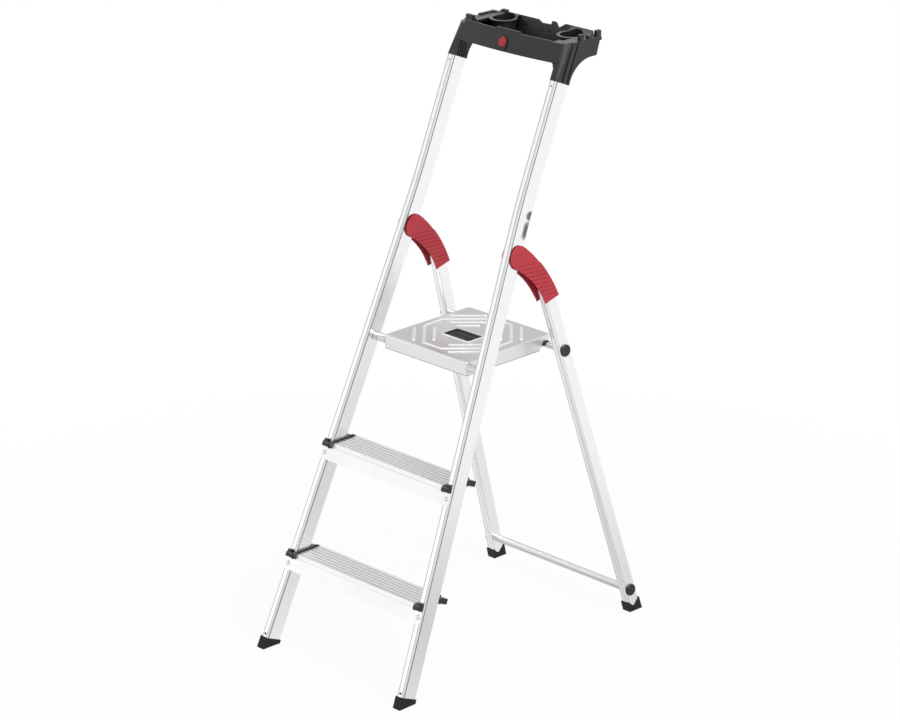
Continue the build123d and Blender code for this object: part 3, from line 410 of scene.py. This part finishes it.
def stile_metal():
    """Drawn tube, with a painted dark reflection along its front corners and painted shade in its grooves and
    dents.
    """
    turn = (STILE_LEAN, 0, 0)
    painted_light = [
        (corner_reflection_mask, CORNER_REFLECTION_GREY),
        (front_groove_shade_mask, FRONT_GROOVE_SHADE_GREY),
        (side_groove_shade_mask, SIDE_GROOVE_SHADE_GREY),
        (dent_shade_mask, DENT_SHADE_GREY),
    ]
    return metal("stile_aluminium", STILE_GREY, STILE_ROUGH, turn, UPRIGHT_LINES, painted_light, TUBE_HOLLOW_SHADE)


def leg_metal():
    """Drawn tube with lines along the leg."""
    return metal("leg_aluminium", LEG_GREY, LEG_ROUGH, (-LEG_LEAN, 0, 0), UPRIGHT_LINES)


def tread_metal(node):
    """Ribbed tread, with painted shade in its grooves and on its apron."""
    low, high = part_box(node)
    painted_light = [
        (layer_mask(low.z - APRON_EDGE, high.z - APRON_EDGE), APRON_SHADE_GREY),
        (layer_mask(high.z - GROOVE_FLOOR, high.z - GROOVE_LIP), TREAD_GROOVE_SHADE_GREY),
    ]
    return metal(node + "_aluminium", TREAD_GREY, TREAD_ROUGH, painted_light=painted_light)


def pan_metal():
    """Pressed sheet with painted shade on its deck, painted highlights on its beads, and a painted shade line
    along the rim's lower edge.
    """
    low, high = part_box("platform_pan")
    deck = high.z - BEAD_HEIGHT
    painted_light = [
        (layer_mask(low.z - EDGE_LINE, low.z + EDGE_LINE), RIM_SHADE_GREY),
        (layer_mask(deck - EDGE_LINE, deck + BEAD_FOOT), DECK_SHADE_GREY),
        (layer_mask(deck + BEAD_FOOT, high.z + BEAD_HEIGHT), BEAD_HIGHLIGHT_GREY),
    ]
    return metal("pan_aluminium", PAN_GREY, PAN_ROUGH, lines=PAN_LINES, painted_light=painted_light, hollow_shade=PAN_HOLLOW_SHADE)


# Plastics: scale of the clouds, change of roughness, relief, and shares of colour and gloss left in hollows
# as painted shade

PLASTIC_CLOUDS = 35.0
ROUGH_CHANGE = 0.05
GRAIN_BUMP = 0.10
HOLLOW_SHADE_SHARE = 0.5
HOLLOW_GLOSS = 1 / 8

# Painted light on top faces: its colour, and how far a face looks up where it starts and where it is full
PAINTED_TOP_LIGHT = (0.120, 0.120, 0.122)
TOP_LIGHT_LIMITS = (0.6, 0.95)


def facing_up(tree):
    """1 on faces that look up, 0 on walls."""
    surface = tree.nodes.new("ShaderNodeNewGeometry")
    return spread(tree, along_axis(tree, surface.outputs["Normal"], "Z"), 0, 1, *TOP_LIGHT_LIMITS)


def plastic(name, light, dark, grain, rough, specular, top_light=None):
    """Moulded plastic with a fine grain and painted shade in its hollows; the last argument is the colour of
    painted light on its top faces.
    """
    material, tree, shader = new_material(name)
    clouds = noise(tree, own_place(tree), PLASTIC_CLOUDS)
    fine = noise(tree, own_place(tree), grain, detail=2.0)
    colour = blend(tree, spread(tree, clouds, 0, 1), dark, light)
    # Painted light: a lighter colour on faces that look up
    if top_light:
        colour = blend(tree, facing_up(tree), colour, top_light)
    # Painted shade: a darker colour and less gloss in the piece's own hollows
    hollow_shade = tuple(HOLLOW_SHADE_SHARE * part for part in dark)
    open_parts = openness(tree, PLASTIC_HOLLOW)
    gloss = spread(tree, open_parts, specular * HOLLOW_GLOSS, specular, 0, 1)
    feed(tree, blend(tree, open_parts, hollow_shade, colour), shader.inputs["Base Color"])
    feed(tree, spread(tree, fine, rough - ROUGH_CHANGE, rough + ROUGH_CHANGE), shader.inputs["Roughness"])
    feed(tree, gloss, shader.inputs["Specular IOR Level"])
    add_bump(tree, shader, fine, GRAIN_BUMP)
    return material


# Finish of each node

stile = stile_metal()
leg = leg_metal()
bar = metal("bar_aluminium", BAR_GREY, BAR_ROUGH)
steel = metal("plated_steel", STEEL_GREY, STEEL_ROUGH)
black = plastic(
    "black_plastic",
    light=(0.017, 0.017, 0.018),
    dark=(0.012, 0.012, 0.013),
    grain=900.0,
    rough=0.38,
    specular=0.42,
    top_light=PAINTED_TOP_LIGHT,
)
insert = plastic(
    "insert_plastic",
    light=(0.008, 0.008, 0.009),
    dark=(0.005, 0.005, 0.006),
    grain=900.0,
    rough=0.45,
    specular=0.25,
)
rubber = plastic(
    "foot_rubber",
    light=(0.011, 0.011, 0.012),
    dark=(0.008, 0.008, 0.009),
    grain=600.0,
    rough=0.50,
    specular=0.22,
)
red = plastic(
    "red_plastic",
    light=(0.47, 0.034, 0.050),
    dark=(0.42, 0.028, 0.042),
    grain=700.0,
    rough=0.42,
    specular=0.30,
)

FINISH = {
    "stile": stile,
    "leg": leg,
    "step_lower": tread_metal("step_lower"),
    "step_upper": tread_metal("step_upper"),
    "step_rivets": steel,
    "step_cap": black,
    "front_foot": rubber,
    "rear_foot": rubber,
    "front_axle": steel,
    "hinge_pin": steel,
    "hinge_washers": black,
    "hinge_arm": red,
    "hinge_cover": red,
    "hinge_shims": black,
    "hinge_rivets": steel,
    "rear_tube": steel,
    "rear_tube_caps": black,
    "lower_crossbar": bar,
    "crossbar_caps": black,
    "tray": black,
    "tray_badge": red,
    # The pins take the black plastic as painted shade of the holes they sit in
    "tray_pins": black,
    "platform_pan": pan_metal(),
    "platform_insert": insert,
    "platform_clip": black,
    "platform_bush": steel,
}


def finish_of(name):
    """Finish with the longest key that starts the node's name."""
    return FINISH[max((key for key in FINISH if name.startswith(key)), key=len)]


for name, node in nodes.items():
    node.data.materials.clear()
    node.data.materials.append(finish_of(name))


# Floor, light and camera

def light_path(tree, *kinds):
    """1 for rays of these kinds, 0 for the rest."""
    path = tree.nodes.new("ShaderNodeLightPath")
    total = path.outputs[kinds[0]]
    for kind in kinds[1:]:
        total = calculate(tree, "MAXIMUM", total, path.outputs[kind])
    return total


def floor_material():
    """Pale floor that is nearly white to the camera, nearly white in reflections further off with painted
    shade beside the ladder, and keeps a faint shadow.
    """
    material, tree, shader = new_material("floor_white")
    cloud = noise(tree, own_place(tree), FLOOR_CLOUDS)
    feed(tree, blend(tree, cloud, FLOOR_DARK, FLOOR_LIGHT), shader.inputs["Base Color"])
    shader.inputs["Roughness"].default_value = FLOOR_ROUGH
    glow = tree.nodes.new("ShaderNodeEmission")
    # Painted shade: the floor is darker in reflections beside the ladder
    level = spread(tree, distance_from(tree, REFLECTED_SHADE_MIDDLE), REFLECTED_SHADE_NEAR, FLOOR_FAR, *REFLECTED_SHADE_REACH)
    white = spread(tree, distance_from(tree, FLOOR_MIDDLE), FLOOR_WHITE, 1, *WHITE_REACH)
    mirrored = light_path(tree, "Is Glossy Ray", "Is Transmission Ray")
    seen = light_path(tree, "Is Camera Ray")
    feed(tree, calculate(tree, "MAXIMUM", seen, level), glow.inputs["Strength"])
    share = calculate(tree, "MULTIPLY", calculate(tree, "MAXIMUM", seen, mirrored), white)
    mix = tree.nodes.new("ShaderNodeMixShader")
    feed(tree, share, mix.inputs["Fac"])
    tree.links.new(shader.outputs["BSDF"], mix.inputs[1])
    tree.links.new(glow.outputs["Emission"], mix.inputs[2])
    tree.links.new(mix.outputs["Shader"], tree.nodes["Material Output"].inputs["Surface"])
    return material


def make_floor():
    """Wide square floor under the ladder."""
    mesh = bpy.data.meshes.new("floor")
    corners = [(-1, -1), (1, -1), (1, 1), (-1, 1)]
    points = [(x * FLOOR_HALF, y * FLOOR_HALF, FLOOR_HEIGHT) for x, y in corners]
    mesh.from_pydata(points, [], [(0, 1, 2, 3)])
    mesh.materials.append(floor_material())
    floor = bpy.data.objects.new("floor", mesh)
    bpy.context.scene.collection.objects.link(floor)


def make_world():
    """Soft white surroundings: white where seen or mirrored, weaker as light."""
    world = bpy.data.worlds.new("studio")
    bpy.context.scene.world = world
    world.use_nodes = True
    tree = world.node_tree
    ground = tree.nodes["Background"]
    ground.inputs["Color"].default_value = (1, 1, 1, 1)
    source = tree.nodes.new("ShaderNodeTexCoord")
    middle = Vector(ZONE_DIRECTION).normalized()
    toward = measure(tree, "DOT_PRODUCT", source.outputs["Generated"], middle)
    zone = spread(tree, toward, 1, ZONE_LEVEL, ZONE_EDGE, ZONE_CORE)
    mirrored = calculate(tree, "MULTIPLY", zone, light_path(tree, "Is Glossy Ray", "Is Transmission Ray"))
    seen = calculate(tree, "MAXIMUM", light_path(tree, "Is Camera Ray"), mirrored)
    feed(tree, calculate(tree, "MAXIMUM", seen, WORLD_LIGHT), ground.inputs["Strength"])


def add_lamp(name, place, target, size, watts):
    """Square soft lamp that looks at a target."""
    lamp = bpy.data.lights.new(name, "AREA")
    lamp.size = size
    lamp.energy = watts
    holder = bpy.data.objects.new(name, lamp)
    holder.location = place
    holder.rotation_mode = "QUATERNION"
    holder.rotation_quaternion = (Vector(target) - Vector(place)).to_track_quat("-Z", "Y")
    bpy.context.scene.collection.objects.link(holder)


def add_camera():
    """Camera at the photograph's place, with its slight roll."""
    back = Vector((
        sin(CAMERA_AZIMUTH) * cos(CAMERA_ELEVATION),
        -cos(CAMERA_AZIMUTH) * cos(CAMERA_ELEVATION),
        sin(CAMERA_ELEVATION),
    ))
    right = Vector((cos(CAMERA_AZIMUTH), sin(CAMERA_AZIMUTH), 0))
    up = back.cross(right)
    side = right * cos(CAMERA_ROLL) + up * sin(CAMERA_ROLL)
    top = up * cos(CAMERA_ROLL) - right * sin(CAMERA_ROLL)
    data = bpy.data.cameras.new("camera")
    data.lens = CAMERA_LENS
    data.sensor_width = SENSOR_WIDTH
    data.sensor_fit = "HORIZONTAL"
    data.clip_end = CAMERA_REACH
    camera = bpy.data.objects.new("camera", data)
    turn = Matrix((side, top, back)).transposed()
    camera.matrix_world = Matrix.Translation(CAMERA_PLACE) @ turn.to_4x4()
    bpy.context.scene.collection.objects.link(camera)
    bpy.context.scene.camera = camera


make_floor()
make_world()
ladder_middle = (cad_low + cad_high) / 2
add_lamp("key", KEY_PLACE, ladder_middle, KEY_SIZE, KEY_WATTS)
add_lamp("front", FRONT_PLACE, FRONT_TARGET, FRONT_SIZE, FRONT_WATTS)
add_camera()
bpy.context.scene.view_settings.view_transform = "Standard"
